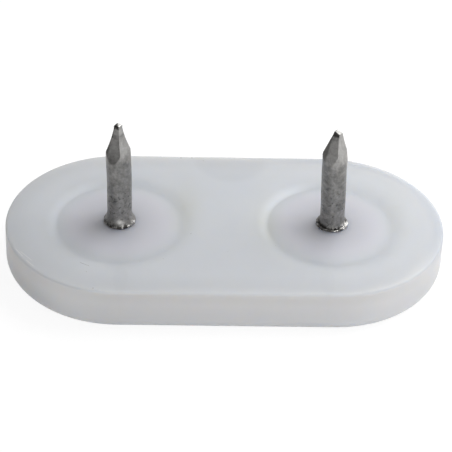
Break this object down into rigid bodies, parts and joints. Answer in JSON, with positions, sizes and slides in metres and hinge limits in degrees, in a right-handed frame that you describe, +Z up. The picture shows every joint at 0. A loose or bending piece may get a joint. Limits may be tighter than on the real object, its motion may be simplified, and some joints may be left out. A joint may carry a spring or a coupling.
{
  "type": "nail-on furniture glide",
  "caption": "Obround white plastic glide plate for a chair or table leg, with steel nails moulded into domed bosses and a rounded sliding face.",
  "frame": {"origin": "centre of the flat sliding face, where the glide touches the floor", "axes": "+Z up out of the sliding face, the way the nails point; +X along the plate's length, from the left nail to the right nail"},
  "size_m": [0.05, 0.026, 0.0185],
  "materials": {
    "body": "milky white, slightly translucent moulded plastic with a soft satin shine",
    "nails": "bare drawn steel wire, dull grey with fine pits and brighter pinched facets"
  },
  "bodies": {
    "root": {"glide_body": "body", "nail_left": "nails", "nail_right": "nails"}
  },
  "joints": []
}
